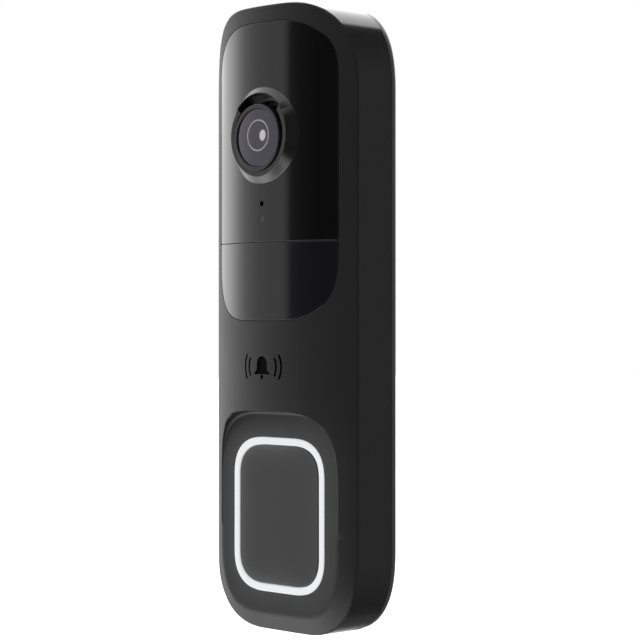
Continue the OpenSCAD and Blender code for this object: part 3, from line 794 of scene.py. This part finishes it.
def lens_line():
    """The thin bright line where the inner lens is held, as it shows through the dome."""
    shape = Shape()
    rings = [circle(LINE_MIDDLE, LINE_R + LINE_W * (t - 0.5), 144)
             for t in (1, 0.75, 0.5, 0.25, 0)]
    flat, faces = triangulate(rings[0], [rings[-1]], rings[1:-1])

    def height(points):
        away = np.hypot(*(points - LINE_MIDDLE).T) - LINE_R
        crown = 0.03 * (1 - (2 * away / LINE_W) ** 2)
        return glass_height(np.hypot(points[:, 0], points[:, 1] - BARREL_Z)) + crown

    shape.front(flat, faces, height)
    metal = material("line_metal", (0.3, 0.29, 0.32), 0.5, metallic=0.3, mottle=0.1)
    shape.build("lens_line", [metal], "housing", "retainer_metal")


glass()
lens_line()


# ---------- call button ----------


def light_ring():
    shape = Shape()
    outer, inner = ring_outline(0.0), ring_outline(RING_BAND)
    top = -guide_low[1]
    mids = [ring_outline(inset) for inset in (0.04, 0.1, 0.2, 0.4, 0.8, 1.14, 1.34, 1.44, 1.5)]
    flat, faces = triangulate(outer, [inner], mids)

    def height(points):
        away = signed(points, outer)
        return top - edge_drop(np.minimum(away, RING_BAND - away), 0.2)

    shape.front(flat, faces, height)
    shape.skirt(outer, top - 0.2, top - 3.3)
    shape.skirt(inner, top - 0.2, top - 3.3, outward=False)
    shape.build("light_ring", [ring_light], "housing", "light_ring", "light_guide")


def cap():
    shape = Shape()
    loop = ring_outline(CAP_INSET)
    top = -box("button_cap")[0][1]
    extra = [ring_outline(CAP_INSET + d) for d in (0.05, 0.12, 0.22, 0.35, 0.6, 1.2, 2.4, 4)]
    extra.append(grid((-13, RING_Z - 16), (13, RING_Z + 16), 1.5, 1.5))
    flat, faces = triangulate(loop, [], extra)

    def height(points):
        return top - edge_drop(signed(points, loop), 0.35)

    shape.front(flat, faces, height)
    shape.skirt(loop, top - 0.35, top - 2.6)
    piece = shape.build("button_face", [cap_plastic], "button", "cap_plastic", "button_cap")
    # painted glow on the button face near its edge
    set_painted_glow(piece, loop, 1.6, 0.05)


light_ring()
cap()


# ---------- mounting plate ----------


def plate():
    shape = Shape()
    edge = [(0.0, PLATE_FRONT), (0.0, 0.95), (0.05, 0.62), (0.2, 0.3), (0.42, 0.1), (0.7, 0.0)]
    loops = [body_outline(PLATE_INSET + inset) for inset, _ in edge]
    opening = np.array([OPENING[0], (OPENING[1][0], OPENING[0][1]), OPENING[1],
                        (OPENING[0][0], OPENING[1][1])], float)
    holes = [even(opening, 80)] + [circle((0, side * SCREW_Z), SCREW_R, 48) for side in (-1, 1)]
    extra = [grid((-20, -66), (20.1, 66.1), 4, 6)]
    for loop, level, facing in ((loops[0], PLATE_FRONT, -1), (loops[-1], 0.0, 1)):
        flat, faces = triangulate(loop, holes, extra)
        points = np.column_stack((flat[:, 0], np.full(len(flat), -level), flat[:, 1]))
        if facing > 0:
            faces = [face[::-1] for face in faces]
        shape.add(points, np.tile((0, facing, 0), (len(flat), 1)), faces)
    for hole in holes:
        shape.skirt(hole, PLATE_FRONT, 0.0, outward=False)
    n = len(loops[0])
    points, normals, faces = [], [], []
    tilts = (0, 5, 25, 48, 70, 88)
    for loop, (_, level), tilt in zip(loops, edge, tilts):
        out = normals_2d(loop) * math.cos(math.radians(tilt))
        points.append(np.column_stack((loop[:, 0], np.full(n, -level), loop[:, 1])))
        normals.append(np.column_stack((out[:, 0], np.full(n, math.sin(math.radians(tilt))),
                                        out[:, 1])))
    for k in range(len(loops) - 1):
        faces += [[i + k * n for i in face] for face in ring_faces(n)]
    shape.add(np.vstack(points), np.vstack(normals), faces)
    shape.build("wall_plate", [plate_plastic], "bracket", "plate_plastic", "mounting_plate")


plate()


# ---------- pieces that keep their CAD shape ----------


def keep(node, made):
    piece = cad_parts[node]
    piece.data.materials.clear()
    piece.data.materials.append(made)


def kept_materials():
    board = tint_by_noise(material("board_green", (0.012, 0.09, 0.04), 0.35, grain=0.1,
                                   mottle=0.15), (0.02, 0.12, 0.06), 300)
    metal = material("tinned_metal", (0.55, 0.56, 0.58), 0.3, metallic=1.0, grain=0.15, mottle=0.2)
    steel = material("zinc_steel", (0.6, 0.6, 0.62), 0.28, metallic=1.0, grain=0.1, mottle=0.2)
    brass = material("screw_brass", (0.7, 0.5, 0.22), 0.3, metallic=1.0, grain=0.1, mottle=0.2)
    rubber = material("seal_rubber", (0.02, 0.02, 0.021), 0.7, grain=0.3, mottle=0.1)
    film = tint_by_noise(material("ribbon_film", (0.5, 0.24, 0.05), 0.25, mottle=0.1),
                         (0.4, 0.18, 0.03), 500)
    white = material("white_plastic", (0.75, 0.76, 0.77), 0.5, grain=0.1, mottle=0.1)
    milky = material("milky_plastic", (0.6, 0.6, 0.57), 0.4, grain=0.1, mottle=0.1)
    pad = material("thermal_pad", (0.25, 0.33, 0.42), 0.8, grain=0.3, mottle=0.1)
    clear = material("clear_pipe", (0.02, 0.021, 0.023), 0.12, mottle=0.1)
    red = material("led_dome", (0.1, 0.01, 0.02), 0.15, mottle=0.1)
    ceramic = material("chip_ceramic", (0.06, 0.06, 0.07), 0.5, grain=0.1, mottle=0.1)
    sleeve = material("capacitor_sleeve", (0.02, 0.04, 0.12), 0.25, mottle=0.1)
    lamp = material("led_phosphor", (0.9, 0.8, 0.45), 0.3, mottle=0.1)
    lens = material("inner_lens", (0.02, 0.015, 0.035), 0.05, mottle=0.1, ior=1.8)
    retainer = material("retainer_metal", (0.35, 0.35, 0.37), 0.35, metallic=1.0, mottle=0.1)
    groups = {
        board: ("camera_board", "ir_board", "main_board", "button_board"),
        metal: ("processor_shield", "radio_module", "pir_sensor", "heat_spreader"),
        steel: ("board_screws", "casing_screws", "tamper_spring"),
        brass: ("terminal_screws", "microphone", "switch_plunger"),
        rubber: ("seal_gasket", "ring_gasket", "mic_boot"),
        film: ("camera_flex", "antenna"),
        white: ("led_reflector", "tamper_plunger", "breather_vent"),
        milky: ("pir_lens",),
        pad: ("thermal_pad",),
        clear: ("light_pipe",),
        red: ("ir_leds",),
        ceramic: ("image_sensor", "light_sensor", "power_inductor"),
        sleeve: ("filter_capacitors",),
        lamp: ("ring_leds",),
        lens: ("lens_elements",),
        retainer: ("lens_retainer",),
        cover_plastic: ("rear_cover",),
        dark_plastic: ("lens_holder", "switch_body", "speaker", "speaker_duct", "terminal_block",
                       "tamper_switch"),
    }
    for made, nodes in groups.items():
        for node in nodes:
            keep(node, made)


kept_materials()


# ---------- studio ----------


def floor():
    size = 12
    level = -0.45
    mesh = bpy.data.meshes.new("floor")
    mesh.from_pydata([(-size, -size, level), (size, -size, level), (size, size, level),
                      (-size, size, level)], [], [(0, 1, 2, 3)])
    piece = bpy.data.objects.new("floor", mesh)
    bpy.context.scene.collection.objects.link(piece)
    mesh.materials.append(material("floor_white", (0.85, 0.85, 0.85), 0.8, mottle=0.05,
                                   emission=(1, 1, 1), strength=0.3))
    piece.visible_glossy = False


# Brightness of the room at a direction in degrees from the doorbell's front towards its +X side.
ROOM_LEVELS = ((-180, 1.3), (-150, 1.2), (-119, 1.0), (-109, 1.3), (-102, 2.05), (-87, 2.25),
               (-79, 2.0), (-72, 1.55), (-66, 1.2), (-58, 1.0), (-50, 0.86), (-29, 0.88),
               (-26, 0.66), (-22, 0.2), (-14, 0.11), (0, 0.06), (60, 0.1), (100, 0.33),
               (172, 0.33), (180, 0.4))
TOP_LEVEL = 3.2
# Boxes behind the doorbell: side, its inner edge, where it starts and is full in Z, brightness.
BACK_BOXES = ((-1, 0.1, 0.07, 0.17, 3.0), (-1, 0, -0.2, -0.6, 0.2), (1, 0.1, 0.2, 0.6, 0.15),
              (1, 0, -0.2, -0.6, 0.15))
# Boxes in front of it: where each starts and is full in Z, brightness.
FRONT_BOXES = ((0.55, 0.72, 1.9), (-0.45, -0.65, 4.0), (-0.72, -0.82, 1.0))


def grey(level):
    share = level / TOP_LEVEL
    return (share, share, share, 1)


def studio():
    """White all round behind the doorbell and to its left, dark on the viewer's right."""
    world = bpy.data.worlds.new("studio")
    bpy.context.scene.world = world
    world.use_nodes = True
    nodes, links = world.node_tree.nodes, world.node_tree.links
    back = nodes["Background"]
    where = nodes.new("ShaderNodeTexCoord")
    parts = nodes.new("ShaderNodeSeparateXYZ")
    links.new(where.outputs["Generated"], parts.inputs["Vector"])
    forward = nodes.new("ShaderNodeMath")
    forward.operation = "MULTIPLY"
    forward.inputs[1].default_value = -1
    links.new(parts.outputs["Y"], forward.inputs[0])
    turn = nodes.new("ShaderNodeMath")
    turn.operation = "ARCTAN2"
    links.new(parts.outputs["X"], turn.inputs[0])
    links.new(forward.outputs["Value"], turn.inputs[1])
    spread = nodes.new("ShaderNodeMapRange")
    spread.inputs["From Min"].default_value = -math.pi
    spread.inputs["From Max"].default_value = math.pi
    links.new(turn.outputs["Value"], spread.inputs["Value"])
    ramp = nodes.new("ShaderNodeValToRGB")
    stops = ramp.color_ramp.elements
    while len(stops) > 1:
        stops.remove(stops[-1])
    for i, (angle, level) in enumerate(ROOM_LEVELS):
        at = (angle + 180) / 360
        stop = stops[0] if i == 0 else stops.new(at)
        stop.position = at
        stop.color = grey(level)
    links.new(spread.outputs["Result"], ramp.inputs["Fac"])
    shade = ramp.outputs["Color"]

    def mixed(factor, level):
        mix = nodes.new("ShaderNodeMix")
        mix.data_type = "RGBA"
        mix.inputs["B"].default_value = grey(level)
        links.new(factor, mix.inputs["Factor"])
        links.new(shade, mix.inputs["A"])
        return mix.outputs["Result"]

    def rising(axis, start, end):
        """0 before start and 1 after end along one axis of the direction."""
        step = nodes.new("ShaderNodeMapRange")
        step.inputs["From Min"].default_value = start
        step.inputs["From Max"].default_value = end
        links.new(parts.outputs[axis], step.inputs["Value"])
        return step.outputs["Result"]

    def both(a, b):
        times = nodes.new("ShaderNodeMath")
        times.operation = "MULTIPLY"
        links.new(a, times.inputs[0])
        links.new(b, times.inputs[1])
        return times.outputs["Value"]

    for side, edge, start, full, level in BACK_BOXES:
        across = rising("X", edge - side * 0.02, edge + side * 0.02)
        behind = both(both(across, rising("Z", start, full)), rising("Y", 0.0, 0.25))
        shade = mixed(behind, level)
    for start, full, level in FRONT_BOXES:
        ahead = both(rising("Z", start, full), rising("Y", 0.0, -0.25))
        shade = mixed(both(ahead, rising("X", 0.6, 0.3)), level)
    path = nodes.new("ShaderNodeLightPath")
    shade = mixed(path.outputs["Is Camera Ray"], 1.0)
    links.new(shade, back.inputs["Color"])
    back.inputs["Strength"].default_value = TOP_LEVEL


def lamp():
    """A small round lamp that only the front glass shows."""
    light = bpy.data.lights.new("lens_lamp", "AREA")
    light.shape = "DISK"
    light.size = 0.038
    light.energy = 0.022
    holder = bpy.data.objects.new("lens_lamp", light)
    bpy.context.scene.collection.objects.link(holder)
    way = Vector((-0.676, -0.724, 0.0965)).normalized()
    spot = Vector((1.75, -GLASS_APEX, BARREL_Z + 0.35)) * MM
    distance_away = 0.5
    holder.location = spot + way * distance_away
    holder.rotation_euler = way.to_track_quat("Z", "Y").to_euler()
    seen_by = bpy.data.collections.new("lens_lamp_receivers")
    seen_by.objects.link(bpy.data.objects["front_glass"])
    holder.light_linking.receiver_collection = seen_by


def camera():
    azimuth = math.radians(46.95)
    away = 0.4682
    eye = bpy.data.cameras.new("camera")
    eye.sensor_width = 36
    eye.lens = 118.41
    eye.shift_x = 0.0524
    holder = bpy.data.objects.new("camera", eye)
    bpy.context.scene.collection.objects.link(holder)
    aim_y = -(CASING_BACK + 10.05) * MM
    holder.location = (away * math.sin(azimuth), aim_y - away * math.cos(azimuth), 0)
    holder.rotation_euler = (math.pi / 2, 0, azimuth)
    bpy.context.scene.camera = holder


floor()
studio()
lamp()
camera()
bpy.context.scene.view_settings.view_transform = "Standard"
